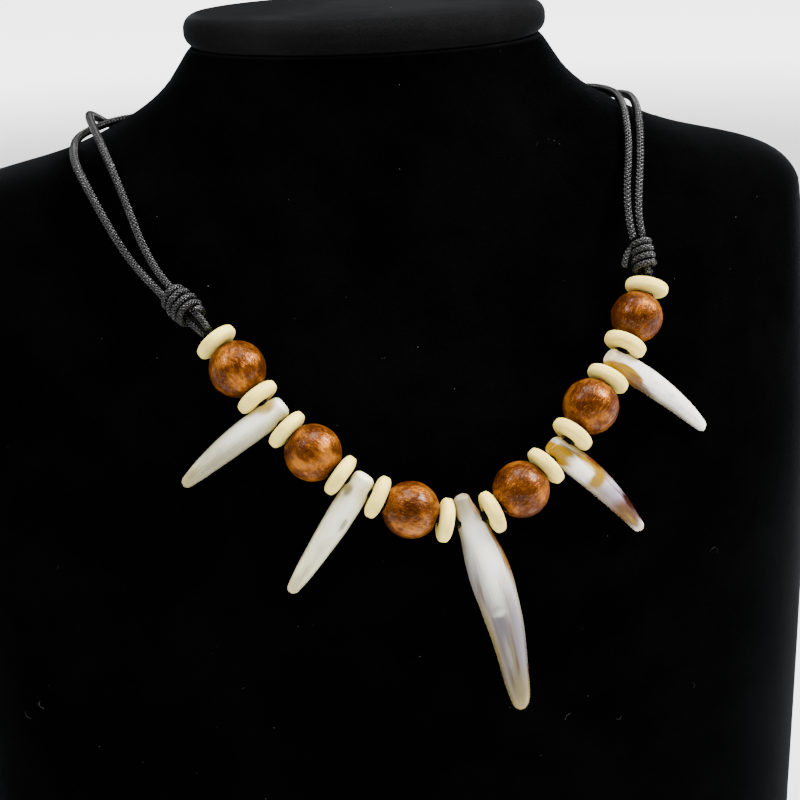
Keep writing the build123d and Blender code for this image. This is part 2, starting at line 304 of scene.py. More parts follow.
def wood_material(settings):
    """Lacquered orange-brown wood: golden clouds, fine flecks along the grain, uneven gloss."""
    nodes = new_material("lacquered_wood")
    place = nodes.grain_place(0.3)
    clouds = nodes.noise(place, 210.0, 2.0, 0.5)
    figure = nodes.noise(nodes.scaled(place, (1.0, 1.0, 0.22)), 1300.0, 3.0, 0.6, 0.3)
    flecks = nodes.noise(nodes.scaled(place, (1.0, 1.0, 0.3)), 3000.0, 2.0, 0.7)
    gloss = nodes.noise(place, 640.0, 3.0, 0.65)
    tone = clouds * 0.70 + figure * 0.30
    base = nodes.ramp(tone, (
        (0.38, settings.wood_dark),
        (0.50, settings.wood_middle),
        (0.63, settings.wood_light),
    ))
    pores = flecks.smooth(0.56, 0.72) * 0.3
    base = nodes.mix(pores, base, rgba(settings.wood_dark))
    golden = flecks.smooth(0.45, 0.30) * 0.3
    base = nodes.mix(golden, base, rgba(settings.wood_light, 1.8))
    return nodes.shader({
        "Base Color": base,
        "Roughness": 0.20 + 0.30 * gloss,
        "Metallic": 0.35 + 0.25 * clouds,
        "Coat Weight": gloss.smooth(0.56, 0.42) * 0.30,
        "Normal": nodes.bump(flecks * 0.7 + figure * 0.9 + gloss * 1.4, 1.0, 0.15 * MM),
        "Specular IOR Level": 0.22,
        "Specular Tint": (1.0, 0.50, 0.18, 1.0),
        "Coat Roughness": 0.12,
        "Coat IOR": 1.35,
    })


def ivory_material(settings):
    """Satin ivory-cream discs with faint clouds and a few fine scratches."""
    nodes = new_material("ivory_disc")
    place = nodes.grain_place(0.4)
    clouds = nodes.noise(place, 260.0, 3.0, 0.55)
    fine = nodes.noise(nodes.scaled(place, (1.0, 1.0, 3.0)), 1500.0, 3.0, 0.6)
    pale = rgba(settings.ivory_colour)
    deep = rgba(tinted(settings.ivory_colour, (0.78, 0.70, 0.72)))
    tint = clouds.smooth(0.36, 0.72) * 0.75 + fine.smooth(0.55, 0.8) * 0.3
    return nodes.shader({
        "Base Color": nodes.mix(tint, pale, deep),
        "Roughness": 0.36 + 0.18 * fine,
        "Normal": nodes.bump(fine + clouds, 0.25, 0.04 * MM),
        "Subsurface Weight": 0.12,
        "Subsurface Radius": (1.0, 0.8, 0.5),
        "Subsurface Scale": 0.5 * MM,
        "Specular IOR Level": 0.16,
        "Coat Weight": 0.05,
        "Coat Roughness": 0.2,
    })


def waxed_material(settings):
    """Black waxed cotton: dull strands with small glints of wax, and grey bloom in patches."""
    nodes = new_material("waxed_black_cord")
    place = nodes.object_place()
    bloom = nodes.noise(place, 700.0, 3.0, 0.65)
    threads = nodes.noise(place, 2600.0, 2.0, 0.5)
    deep = rgba(settings.cord_colour)
    pale = rgba(settings.cord_colour, 14.0)
    return nodes.shader({
        "Base Color": nodes.mix(bloom.smooth(0.54, 0.80), deep, pale),
        "Roughness": 0.20 + 0.30 * bloom,
        "Coat Weight": 0.75 * threads.smooth(0.52, 0.66),
        "Normal": nodes.bump(threads, 0.25, 0.03 * MM),
        "Specular IOR Level": 0.24,
        "Coat Roughness": 0.10,
    })


def thread_material(settings):
    """Matte black cotton of the string, which shows only in the gaps between the beads."""
    nodes = new_material("black_thread")
    fibre = nodes.noise(nodes.object_place(), 3200.0, 2.0, 0.6)
    deep = rgba(settings.cord_colour)
    wear_and_sheen = rgba(settings.cord_colour, 4.0)
    return nodes.shader({
        "Base Color": nodes.mix(fibre, deep, wear_and_sheen),
        "Roughness": 0.70 + 0.25 * fibre,
        "Specular IOR Level": 0.05,
    })


Patch = namedtuple("Patch", "along across length width colour strength edge")

# The stains of each tooth, with the painted highlights and painted shade among them, and with all
# but the colours in hundredths. along runs from 0 at the butt to 100 at the tip, and across from
# -100 at the left edge to 100 at the right one. Later rows lie over earlier ones.
AMBER = (0.215, 0.115, 0.001)
DEEP_AMBER = (0.12, 0.048, 0.001)
PALE_AMBER = (0.38, 0.27, 0.07)
OCHRE = (0.12, 0.050, 0.006)
BROWN = (0.060, 0.019, 0.004)
MAROON = (0.020, 0.0035, 0.0015)
LILAC = (0.25, 0.20, 0.275)
SMOKE = (0.088, 0.076, 0.090)
CREAM = (0.26, 0.20, 0.075)
OLIVE = (0.14, 0.108, 0.036)
HORN = (0.125, 0.103, 0.056)
PEARL = (0.88, 0.87, 0.77)
# Each tooth's white, from the left one to the right one: partly its own tint, partly painted light
# and shade, the left tooth, away from the key light, painted darkest.
WHITES = {
    1: (0.42, 0.41, 0.26),
    2: (0.70, 0.675, 0.42),
    3: (0.46, 0.44, 0.37),
    4: (0.62, 0.60, 0.52),
    5: (0.80, 0.78, 0.70),
}
STAINS_AND_PAINTED_LIGHT = {1: (
    # The first two rows are painted light and shade: a painted highlight on the lit upper left side
    # near the butt, and painted shade on the lower right side.
    (22, -20, 28, 55, PEARL, 85, 90),
    (70, 55, 30, 45, HORN, 55, 90),
    (10, -55, 7.5, 40, PALE_AMBER, 100, 45),
    (8, -35, 3.5, 22, AMBER, 70, 60),
    (17, -85, 6, 22, PALE_AMBER, 70, 60),
    (95, 0, 10, 130, CREAM, 70, 80),
    (86, -15, 7, 35, OLIVE, 45, 80),
), 2: (
    (30, 0, 30, 60, PEARL, 60, 90),
    (13, -55, 4.5, 30, OLIVE, 80, 50),
    (10, 35, 5, 35, PALE_AMBER, 50, 80),
    (36, 50, 4.5, 20, OLIVE, 75, 60),
    (60, 15, 9, 30, CREAM, 35, 90),
    (80, 10, 8, 32, OLIVE, 40, 80),
    (95, 0, 10, 140, CREAM, 60, 80),
), 3: (
    # The first row is a painted highlight on the lit upper part. The second, a dark wash over the
    # lower part, is partly the tooth's own staining and partly painted shade where the light falls
    # off downwards.
    (28, 0, 22, 60, PEARL, 95, 80),
    (86, -20, 38, 160, (0.088, 0.071, 0.036), 95, 50),
    (1, 0, 8, 150, OLIVE, 75, 70),
    (5, 75, 5, 40, OCHRE, 60, 70),
    (21, 95, 20, 22, OCHRE, 100, 45),
    (13, -95, 10, 20, HORN, 80, 70),
    (36, -75, 15, 38, SMOKE, 75, 90),
    (41, -72, 7.5, 13, (0.07, 0.045, 0.025), 85, 60),
    (57, -25, 7.5, 36, SMOKE, 95, 60),
    (68, -55, 18, 26, SMOKE, 70, 90),
    (44, 45, 10, 30, SMOKE, 45, 90),
    (64, 52, 17, 36, (0.125, 0.103, 0.135), 90, 60),
    (52, 28, 11, 6, HORN, 70, 90),
    (60, -60, 15, 7, BROWN, 50, 90),
    (68, -5, 10, 5, HORN, 60, 90),
    (72, 12, 13, 7, BROWN, 60, 90),
    (62, -85, 16, 16, OLIVE, 80, 70),
    (72, -30, 8, 8, PEARL, 12, 90),
    (74, 80, 10, 14, SMOKE, 80, 70),
    # Painted highlight: a thin pearl line along the crest above the smoky patch.
    (51, -20, 1.4, 24, PEARL, 40, 100),
    (93, 5, 9, 100, OLIVE, 70, 70),
    (98, 10, 5, 110, CREAM, 60, 70),
    (83, -45, 5, 14, BROWN, 65, 80),
    (77, 10, 3.5, 10, BROWN, 55, 80),
    (84, 95, 4, 14, BROWN, 85, 70),
), 4: (
    (12, 85, 22, 28, CREAM, 90, 40),
    (8, -35, 13, 75, AMBER, 100, 22),
    (10, 42, 12, 10, BROWN, 80, 60),
    (33, 45, 18, 30, AMBER, 100, 30),
    (38, 85, 17, 26, (0.085, 0.026, 0.004), 100, 35),
    (28, -20, 12, 52, PEARL, 70, 40),
    (60, -60, 18, 60, (0.15, 0.105, 0.060), 90, 70),
    (68, 30, 20, 95, LILAC, 95, 60),
    (42, -10, 5.5, 85, AMBER, 100, 45),
    (80, -45, 15, 75, (0.090, 0.036, 0.001), 100, 45),
    (85, -40, 7, 25, AMBER, 80, 60),
    (80, 15, 11, 40, BROWN, 90, 50),
    (80, 66, 16, 42, MAROON, 100, 35),
    (68, 42, 14, 7, MAROON, 80, 60),
    (98, 0, 4.5, 180, (0.46, 0.42, 0.32), 100, 25),
), 5: (
    (2, 0, 5, 160, PALE_AMBER, 70, 60),
    (16, -80, 17, 70, AMBER, 100, 12),
    (23, -50, 5, 16, DEEP_AMBER, 85, 60),
    (29, -85, 12, 26, OCHRE, 95, 40),
    (38, -100, 11, 22, BROWN, 95, 50),
    # Painted shade: the underside along the left edge, painted horn-dark.
    (60, -105, 24, 25, HORN, 75, 80),
)}


def tooth_material(number, settings):
    """Polished white shell, streaked along its length: its own stains, and painted light and shade.
    """
    nodes = new_material(f"polished_tooth_{number}")
    along, across, front = nodes.split(nodes.attribute("tooth"))
    place = nodes.vector(along * 9.0, across * 1.1, front * 1.1)
    drift = nodes.noise(place, 1.6, 3.0, 0.6)
    streaks = nodes.noise(nodes.vector(along * 3.0, across * 5.0, front * 5.0), 2.2, 4.0, 0.6)
    clean = tinted(settings.tooth_colour, WHITES[number])
    grey = rgba(tinted(clean, (0.62, 0.61, 0.64)))
    colour = nodes.mix(streaks.smooth(0.44, 0.72) * 0.8, rgba(clean), grey)
    # Painted shade: both long edges of the tooth are painted darker, towards horn, as where its
    # rounded sides turn from the light; random horn-coloured drifts are mixed in.
    edge = (across * across).smooth(0.45, 1.1) * 0.8 + drift.smooth(0.5, 0.75) * 0.25
    colour = nodes.mix(edge, colour, rgba(HORN))
    along = along + (drift - 0.5) * 0.05
    across = across + (streaks - 0.5) * 0.5
    for row in STAINS_AND_PAINTED_LIGHT[number]:
        patch = Patch(*(
            value if isinstance(value, tuple) else value / PATCH_STEPS for value in row
        ))
        du = (along - patch.along) / patch.length
        dv = (across - patch.across) / patch.width
        distance = (du * du + dv * dv) ** 0.5
        mask = distance.smooth(1.0 + patch.edge, 1.0 - patch.edge) * patch.strength
        colour = nodes.mix(mask, colour, rgba(patch.colour))
    return nodes.shader({
        "Base Color": colour,
        "Roughness": 0.12 + 0.16 * streaks,
        "Normal": nodes.bump(streaks, 0.25, 0.08 * MM),
        "Subsurface Weight": 0.06,
        "Subsurface Radius": (1.0, 0.85, 0.65),
        "Subsurface Scale": 0.3 * MM,
        "Specular IOR Level": 0.13,
        "Coat Weight": 0.12,
        "Coat Roughness": 0.04,
    })


def floor_material(settings):
    """A pale floor that glows further out, as a sweep does under its own lamps."""
    nodes = new_material("pale_floor")
    place = nodes.object_place()
    x, y, _ = nodes.split(place)
    away = (x * x + y * y) ** 0.5
    cloud = nodes.noise(place, 3.0, 2.0)
    colour = settings.floor_colour
    glow = away.smooth(0.85, 1.4)
    return nodes.shader({
        "Base Color": nodes.mix(cloud, rgba(colour), rgba(colour, 0.97)),
        "Emission Color": nodes.mix(glow, (0.0, 0.0, 0.0, 1.0), (1.0, 1.0, 1.0, 1.0)),
        "Roughness": 0.7,
        "Specular IOR Level": 0.2,
        "Emission Strength": settings.floor_glow,
    })


def link(made):
    bpy.context.scene.collection.objects.link(made)
    return made


def mesh_object(name, vertices, faces=(), edges=()):
    mesh = bpy.data.meshes.new(name)
    rows = ([tuple(row) for row in table] for table in (vertices, edges, faces))
    mesh.from_pydata(*rows)
    return link(bpy.data.objects.new(name, mesh))


def store(mesh, name, vectors):
    """Keeps a vector for each of the mesh's points, as a named attribute."""
    attribute = mesh.attributes.new(name, "FLOAT_VECTOR", "POINT")
    attribute.data.foreach_set("vector", np.asarray(vectors, np.float32).ravel())


def coordinates(mesh):
    """The places of a mesh's points, a row for each."""
    places = np.empty(len(mesh.vertices) * 3, np.float32)
    mesh.vertices.foreach_get("co", places)
    return places.reshape(-1, 3)


def taken_mesh(source):
    """The mesh that an object's modifiers make. The object itself is removed."""
    graph = bpy.context.evaluated_depsgraph_get()
    graph.update()
    mesh = bpy.data.meshes.new_from_object(source.evaluated_get(graph))
    bpy.data.objects.remove(source)
    return mesh


def mend(mesh, step):
    """Closes a mesh's seams, and runs the function step on it."""
    working = bmesh.new()
    working.from_mesh(mesh)
    bmesh.ops.remove_doubles(working, verts=working.verts, dist=MERGE)
    step(working)
    working.to_mesh(mesh)
    working.free()


def face_outwards(working):
    bmesh.ops.recalc_face_normals(working, faces=working.faces)


KINDS = {float: "Float", int: "Int", bpy.types.Object: "Object", bpy.types.Material: "Material"}


def grow(name, source, plan, values):
    """Runs on the source object the Geometry Nodes that the function plan lays out.

    The values become the tree's named inputs, and the result is kept as a plain mesh.
    """
    tree = bpy.data.node_groups.new(plan.__name__, "GeometryNodeTree")
    modifier = source.modifiers.new(name, "NODES")
    tree.interface.new_socket("Geometry", in_out="INPUT", socket_type="NodeSocketGeometry")
    identifiers = {}
    for label, value in values.items():
        kind = f"NodeSocket{KINDS[type(value)]}"
        made = tree.interface.new_socket(label, in_out="INPUT", socket_type=kind)
        identifiers[label] = made.identifier
    tree.interface.new_socket("Geometry", in_out="OUTPUT", socket_type="NodeSocketGeometry")
    nodes = Nodes(tree)
    inputs = nodes.add("NodeGroupInput")
    shape = nodes.shape("RealizeInstances", Geometry=plan(nodes, inputs))
    shape = nodes.shape("SetShadeSmooth", Geometry=shape)
    shape = nodes.shape("SetMaterial", Geometry=shape, Material=inputs["Material"])
    nodes.add("NodeGroupOutput", (), {"Geometry": shape})
    modifier.node_group = tree
    for label, value in values.items():
        modifier[identifiers[label]] = value
    mesh = taken_mesh(source)
    mesh.name = name
    if not mesh.polygons:
        raise RuntimeError(f"{name} came out empty")
    return link(bpy.data.objects.new(name, mesh))


def dress(node, finish):
    """Gives a CAD node a material of its own."""
    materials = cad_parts[node].data.materials
    materials.clear()
    materials.append(finish)


def own(piece, slot, *nodes):
    """Puts a finished piece on the body, in place of its nodes; the slot is not used."""
    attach(piece, BODY)
    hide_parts(*nodes)


def vertices_of(node):
    return coordinates(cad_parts[node].data).astype(float)


def middle_of(node):
    low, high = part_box(node)
    return (low + high) / 2


def spread_axis(places, widest):
    """The direction in which a cloud of points spreads the most, or the least."""
    _, directions = np.linalg.eigh(np.cov((places - places.mean(0)).T))
    return Vector(directions[:, -1 if widest else 0])


BALL_FLANK = 0.965  # points of a ball nearer to its middle than this share lie round its bore


def thread_direction(node):
    """The direction of the thread through a bead, from left to right along the string."""
    places = vertices_of(node)
    if node.startswith("bead_disc"):
        axis = spread_axis(places, widest=False)
    else:
        away = np.linalg.norm(places - np.array(middle_of(node)), axis=1)
        axis = spread_axis(places[away < BALL_FLANK * away.max()], widest=True)
    return axis if axis.x > 0 or (abs(axis.x) < 0.2 and axis.z > 0) else -axis


def place_on_axis(origin, z_axis, x_hint):
    """A matrix whose z is z_axis and whose x is as near to x_hint as it can be."""
    z_axis = z_axis.normalized()
    x_axis = (x_hint - z_axis * x_hint.dot(z_axis)).normalized()
    rotation = Matrix((x_axis, z_axis.cross(x_axis), z_axis)).transposed()
    return Matrix.Translation(origin) @ rotation.to_4x4()


def ball_profile(settings):
    """Half of a ball's section, with flattened ends and a bore."""
    radius = settings.ball_diameter / 2
    half = radius * settings.ball_length
    bore = settings.bore_diameter / 2
    lip = 0.25 * MM
    steps = 30
    edge = math.asin(half / radius)
    arc = [-edge + 2 * edge * k / steps for k in range(steps + 1)]
    outer = [(radius * math.cos(a), radius * math.sin(a)) for a in arc]
    ends = [(bore + lip, half), (bore, half - lip)]
    return [(radius, -height) for radius, height in reversed(ends)] + outer + ends


def bend(start, control, end, steps):
    """Points on a bend from start towards control and on to end, without its start."""
    points = []
    for k in range(1, steps + 1):
        t = k / steps
        weights = ((1 - t) ** 2, 2 * t * (1 - t), t * t)
        corners = zip(start, control, end)
        points.append(tuple(sum(w * p for w, p in zip(weights, values)) for values in corners))
    return points


def disc_profile(settings):
    """Half of a lens-like disc's section: small flat, full sloping sides and a blunt rim."""
    half = settings.disc_thickness / 2
    reach = settings.disc_diameter / 2
    bore = settings.bore_diameter / 2
    lip = 0.2 * MM
    flat = (0.43 * reach, half)
    ridge = (0.94 * reach, 0.60 * half)
    rim = (reach, 0.12 * half)
    upper = [
        (bore, half - lip),
        (bore + lip, half),
        flat,
        *bend(flat, (0.77 * reach, 1.00 * half), ridge, 10),
        *bend(ridge, (1.00 * reach, 0.45 * half), rim, 6),
    ]
    return upper + [(radius, -height) for radius, height in reversed(upper)]


def turned_beads(nodes, inputs):
    """Turns a profile about z, and puts one on each point of the string."""
    grid = nodes.shape(
        "MeshGrid", Size_X=1.0, Size_Y=1.0,
        Vertices_X=inputs["Segments"], Vertices_Y=inputs["Profile Points"],
    )
    across, along, _ = nodes.split(nodes.shape("InputPosition"))
    info = nodes.shape("ObjectInfo", Object=inputs["Profile"])
    curve = nodes.shape("MeshToCurve", Mesh=info["Geometry"])
    sampling = {"mode": "FACTOR", "use_all_curves": True}
    sampled = nodes.shape("SampleCurve", sampling, Curves=curve, Factor=along + 0.5)
    radius, _, height = nodes.split(sampled["Position"])
    angle = (across + 0.5) * math.tau
    turned = nodes.vector(radius * angle.math("COSINE"), radius * angle.math("SINE"), height)
    bead = nodes.shape("SetPosition", Geometry=grid, Position=turned)
    bead = nodes.shape("MergeByDistance", Geometry=bead, Distance=MERGE)
    bead = nodes.shape(
        "StoreNamedAttribute", {"data_type": "FLOAT_VECTOR", "domain": "POINT"},
        Geometry=bead, Name="grain", Value=nodes.shape("InputPosition"),
    )
    lay, size = (
        nodes.shape("InputNamedAttribute", {"data_type": "FLOAT_VECTOR"}, Name=name)["Attribute"]
        for name in ("lay", "size")
    )
    strung = nodes.shape(
        "InstanceOnPoints", Points=inputs["Geometry"], Instance=bead, Rotation=lay, Scale=size
    )
    return nodes.shape(
        "StoreNamedAttribute", {"data_type": "FLOAT", "domain": "INSTANCE"},
        Geometry=strung, Name="piece", Value=nodes.chance(inputs["Seed"]),
    )


SEGMENTS = 72


def string_of_beads(name, beads, profile, sizes, seed, finish):
    """Beads of one kind on the string, each where its CAD node is."""
    places = [middle_of(node) for node in beads]
    points = mesh_object(f"{name}_points", places)
    lays = [
        place_on_axis(place, thread_direction(node), Vector((0, -1, 0))).to_euler()
        for node, place in zip(beads, places)
    ]
    store(points.data, "lay", lays)
    store(points.data, "size", [(size, size, size) for size in sizes])
    count = len(profile)
    ring = [(k, (k + 1) % count) for k in range(count)]
    outline = mesh_object(f"{name}_profile", [(r, 0.0, h) for r, h in profile], edges=ring)
    values = {
        "Profile": outline,
        "Segments": SEGMENTS + 1,
        "Profile Points": 2 * count + 1,
        "Seed": seed,
        "Material": finish,
    }
    piece = grow(name, points, turned_beads, values)
    bpy.data.objects.remove(outline)
    mend(piece.data, face_outwards)
    return piece


# A braid's section, in shares of the cord's radius: how far out its strands run, how far they
# dip and rise, and the radii of a strand and of the core
STRAND_PLACE, STRAND_WEAVE, STRAND_RADIUS, CORE_RADIUS = 0.53, 0.15, 0.33, 0.52
CORE_SIDES = 8


def braided_cord(nodes, inputs):
    """Braids strands round a line: half of them wind one way and half the other."""
    radius = inputs["Diameter"] * 0.5
    core_line = nodes.shape("MeshToCurve", Mesh=inputs["Geometry"])
    line = nodes.shape("ResampleCurve", {"mode": "LENGTH"}, Curve=core_line, Length=inputs["Step"])
    line = nodes.shape("SetCurveNormal", Curve=line)
    copies = nodes.shape(
        "DuplicateElements", {"domain": "SPLINE"}, Geometry=line, Amount=inputs["Strands"]
    )
    number = copies["Duplicate Index"]
    sense = 1.0 - number.math("MODULO", 2.0) * 2.0
    rank = (number * 0.5).math("FLOOR")
    turns = nodes.shape("SplineParameter")["Length"] / inputs["Pitch"]
    angle = (turns * sense + rank / (inputs["Strands"] * 0.5)) * math.tau
    weave = (turns * inputs["Strands"] * math.pi).math("COSINE") * sense
    lift = radius * (STRAND_PLACE + STRAND_WEAVE * weave)
    normal = nodes.shape("InputNormal")
    side = nodes.vector_math("CROSS_PRODUCT", nodes.shape("InputTangent"), normal)
    offset = nodes.vector_math(
        "ADD",
        nodes.scaled(normal, lift * angle.math("COSINE")),
        nodes.scaled(side, lift * angle.math("SINE")),
    )
    strands = nodes.shape("SetPosition", Geometry=copies["Geometry"], Offset=offset)
    sheath = nodes.tube(strands, inputs["Strand Sides"], radius * STRAND_RADIUS)
    core = nodes.tube(core_line, CORE_SIDES, radius * CORE_RADIUS)
    return nodes.joined((sheath, core))


def braid(name, lines, diameter, finish):
    """A braided cord along each of the lines, as one mesh."""
    vertices, edges = [], []
    for line in lines:
        start = len(vertices)
        vertices += list(line)
        edges += [(k, k + 1) for k in range(start, len(vertices) - 1)]
    source = mesh_object(f"{name}_line", vertices, edges=edges)
    values = {
        "Diameter": diameter,
        "Strands": 8,
        "Pitch": 2.0 * diameter,
        "Step": 0.16 * MM,
        "Strand Sides": 6,
        "Material": finish,
    }
    return grow(name, source, braided_cord, values)


def smooth_line(points):
    """The points of a smooth NURBS line that has these control points."""
    curve = bpy.data.curves.new("line", "CURVE")
    curve.dimensions = "3D"
    curve.resolution_u = 12
    spline = curve.splines.new("NURBS")
    spline.points.add(len(points) - 1)
    for place, point in zip(spline.points, points):
        place.co = (*point, 1.0)
    spline.order_u = 3
    spline.use_endpoint_u = True
    mesh = taken_mesh(link(bpy.data.objects.new("line", curve)))
    line = [v.co.copy() for v in mesh.vertices]
    bpy.data.meshes.remove(mesh)
    return line


Winding = namedtuple("Winding", "radius turns start rise tilt ends")


def wound_line(matrix, winding):
    """A helix of cord on the knot's axis, whose turns lean over and draw in at the ends."""
    steps_a_turn = 20
    uneven, uneven_pace = 0.035, 2.3
    count = int(winding.turns * steps_a_turn)
    points = []
    for k in range(count + 1):
        share = k / count
        angle = winding.start + math.tau * winding.turns * share
        pull = 1.0 - winding.ends * abs(2 * share - 1) ** 3
        sway = 1 + uneven * math.sin(uneven_pace * angle + winding.start)
        radius = winding.radius * pull * sway
        x, y = radius * math.cos(angle), radius * math.sin(angle)
        height = winding.rise * (share - 0.5) + winding.tilt * x
        points.append(matrix @ Vector((x, y, height)))
    return points


def Length(name, default, smallest, description):
    """A property that holds a length."""
    return bpy.props.FloatProperty(
        name=name, description=description, default=default, min=smallest, unit="LENGTH"
    )


def Amount(name, default, description, smallest=0.0):
    """A property that holds a number of the unit that its description names."""
    return bpy.props.FloatProperty(
        name=name, description=description, default=default, min=smallest
    )


def Share(name, default, description, smallest=0.0, largest=1.0):
    """A property that holds a share."""
    return bpy.props.FloatProperty(
        name=name, description=description, default=default, min=smallest, max=largest,
        subtype="FACTOR",
    )


def Colour(name, default, description):
    """A property that holds a colour."""
    return bpy.props.FloatVectorProperty(
        name=name, description=description, default=default, subtype="COLOR", size=3, min=0, max=1
    )


class NecklaceSizes(bpy.types.PropertyGroup):
    """Sizes that a user would change."""

    ball_diameter: Length("Round bead", 12.2 * MM, 4 * MM, "Diameter of a round wooden bead")
    ball_length: Share(
        "Round bead length", 0.905, "Length along the thread, as a share of the diameter", 0.5, 0.99
    )
    last_ball_diameter: Length(
        "Last round bead", 11.3 * MM, 4 * MM, "Diameter of the last, smaller round bead"
    )
    disc_diameter: Length("Disc", 9.4 * MM, 3 * MM, "Diameter of a disc bead")
    disc_thickness: Length(
        "Disc thickness", 3.2 * MM, 1 * MM, "Thickness of a disc bead at its middle"
    )
    bore_diameter: Length("Bore", 3.0 * MM, 1 * MM, "Diameter of the thread's hole through a bead")
    cord_diameter: Length("Cord", 2.0 * MM, 0.5 * MM, "Diameter of the waxed cord")
    wrap_diameter: Length(
        "Wrapped cord", 1.66 * MM, 0.5 * MM, "Diameter of the cord where a knot pulls it tight"
    )
    tooth_voxel: Length("Tooth detail", 0.24 * MM, 0.1 * MM, "Size of the smallest face on a tooth")
    tooth_bore: Length(
        "Tooth bore", 1.7 * MM, 0.5 * MM, "Reach from the thread's line in which a bore's wall lies"
    )
    tooth_relief: Length("Tooth relief", 0.11 * MM, 0.0, "Depth of the facets on a tooth")
    lint_specks: Amount("Lint specks", 2400.0, "How many specks lie on each square metre of velvet")
    lint_fibres: Amount("Lint fibres", 500.0, "How many fibres lie on each square metre of velvet")


class NecklaceColours(bpy.types.PropertyGroup):
    """Colours that a user would change."""

    velvet_colour: Colour("Velvet", (0.0002, 0.0002, 0.00021), "Colour of the velvet's depth")
    velvet_sheen: Share("Velvet sheen", 0.055, "How much the pile shines at grazing angles")
    wood_light: Colour("Light wood", (0.260, 0.084, 0.007), "Lightest tone of the wooden beads")
    wood_middle: Colour("Middle wood", (0.076, 0.0185, 0.0015), "Middle tone of the wooden beads")
    wood_dark: Colour("Dark wood", (0.030, 0.006, 0.0008), "Darkest tone of the wooden beads")
    ivory_colour: Colour("Ivory", (0.82, 0.665, 0.155), "Colour of the disc beads")
    tooth_colour: Colour(
        "Tooth tint", (1.0, 1.0, 1.0), "Tint by which each tooth's own white is multiplied"
    )
    cord_colour: Colour("Cord", (0.0007, 0.0007, 0.0007), "Colour of the waxed cord")


class NecklaceStage(bpy.types.PropertyGroup):
    """The camera, the lights and the floor."""

    lens: Amount("Lens", 76.5, "Focal length on a 36 mm wide sensor, in millimetres", 10)
    floor_colour: Colour("Floor", (0.86, 0.86, 0.86), "Colour of the floor")
    floor_radius: Length("Floor radius", 5.0, 1, "How far the floor reaches")
    floor_glow: Amount("Floor glow", 3.7, "Brightness that lamps of its own give the far floor")
    room_light: Amount("Room light", 0.14, "Strength of the even light from all round")
    right_light: Amount("Right softbox", 40.0, "Power of the softbox on the right, in watts")
    left_light: Amount("Left softbox", 15.0, "Power of the softbox on the left, in watts")
    top_light: Amount("Top softbox", 22.0, "Power of the softbox overhead, in watts")


class NecklaceOperator:
    """What the operators share."""

    bl_options = {"REGISTER", "UNDO"}

    @property
    def sizes(self):
        return bpy.context.scene.necklace_sizes

    @property
    def colours(self):
        return bpy.context.scene.necklace_colours


def camera_axes():
    """The camera's right, up and forward directions."""
    azimuth, elevation, roll = (
        math.radians(angle) for angle in (CAMERA_AZIMUTH, CAMERA_ELEVATION, CAMERA_ROLL)
    )
    away = Vector((
        math.sin(azimuth) * math.cos(elevation),
        -math.cos(azimuth) * math.cos(elevation),
        math.sin(elevation),
    ))
    forward = -away
    level_right = Vector((math.cos(azimuth), math.sin(azimuth), 0.0))
    level_up = level_right.cross(forward)
    right = math.cos(roll) * level_right + math.sin(roll) * level_up
    up = -math.sin(roll) * level_right + math.cos(roll) * level_up
    return right, up, forward


class NECKLACE_OT_stage(NecklaceOperator, bpy.types.Operator):
    """Sets the camera, the softboxes and the pale floor"""

    bl_idname = "necklace.stage"
    bl_label = "Stage"

    def execute(self, context):
        stage = context.scene.necklace_stage
        right, up, forward = camera_axes()
        camera_data = bpy.data.cameras.new("camera")
        camera_data.lens = stage.lens
        camera_data.sensor_width = SENSOR_WIDTH
        camera_data.clip_start = CLIP_START
        camera_data.clip_end = CLIP_END
        camera = link(bpy.data.objects.new("camera", camera_data))
        rotation = Matrix((right, up, -forward)).transposed().to_4x4()
        camera.matrix_world = Matrix.Translation(CAMERA_PLACE) @ rotation
        context.scene.camera = camera

        right_way, left_way = (
            (right * side + up * rise - forward * near).normalized()
            for side, rise, near in ((0.65, 0.71, 0.25), (-0.62, 0.62, 0.48))
        )
        # name, power, the way to it, its edge and its distance in metres
        boxes = (
            ("right_softbox", stage.right_light, right_way, 0.42, 1.0),
            ("left_softbox", stage.left_light, left_way, 0.50, 1.1),
            ("top_softbox", stage.top_light, Vector((0.0, 0.05, 1.0)).normalized(), 0.70, 1.0),
        )
        for name, power, away, size, distance in boxes:
            light = bpy.data.lights.new(name, "AREA")
            light.shape = "SQUARE"
            light.size = size
            light.energy = power
            lamp = link(bpy.data.objects.new(name, light))
            lamp.location = Vector(LIT_PLACE) + away * distance
            lamp.rotation_euler = away.to_track_quat("Z", "Y").to_euler()

        world = bpy.data.worlds.new("even_light")
        world.use_nodes = True
        background = world.node_tree.nodes["Background"]
        background.inputs["Color"].default_value = (1.0, 1.0, 1.0, 1.0)
        background.inputs["Strength"].default_value = stage.room_light
        context.scene.world = world

        ring = [
            (stage.floor_radius * math.cos(a), stage.floor_radius * math.sin(a), 0.0)
            for a in (math.tau * k / FLOOR_SIDES for k in range(FLOOR_SIDES))
        ]
        floor = mesh_object("floor", ring, [range(FLOOR_SIDES)])
        floor.data.materials.append(floor_material(stage))
        return {"FINISHED"}


class NECKLACE_OT_cords(NecklaceOperator, bpy.types.Operator):
    """Braids the two waxed cords that close the necklace behind the neck"""

    bl_idname = "necklace.cords"
    bl_label = "Cords"

    def execute(self, context):
        finish = waxed_material(self.colours)
        for name, (places, length) in CORDS.items():
            route = [tuple(value / ROUTE_STEPS for value in place) for place in places]
            line = smooth_line(route)
            piece = braid(f"braided_{name}", [line], self.sizes.cord_diameter, finish)
            own(piece, "waxed_cord", name)
        dress("thread", thread_material(self.colours))
        return {"FINISHED"}


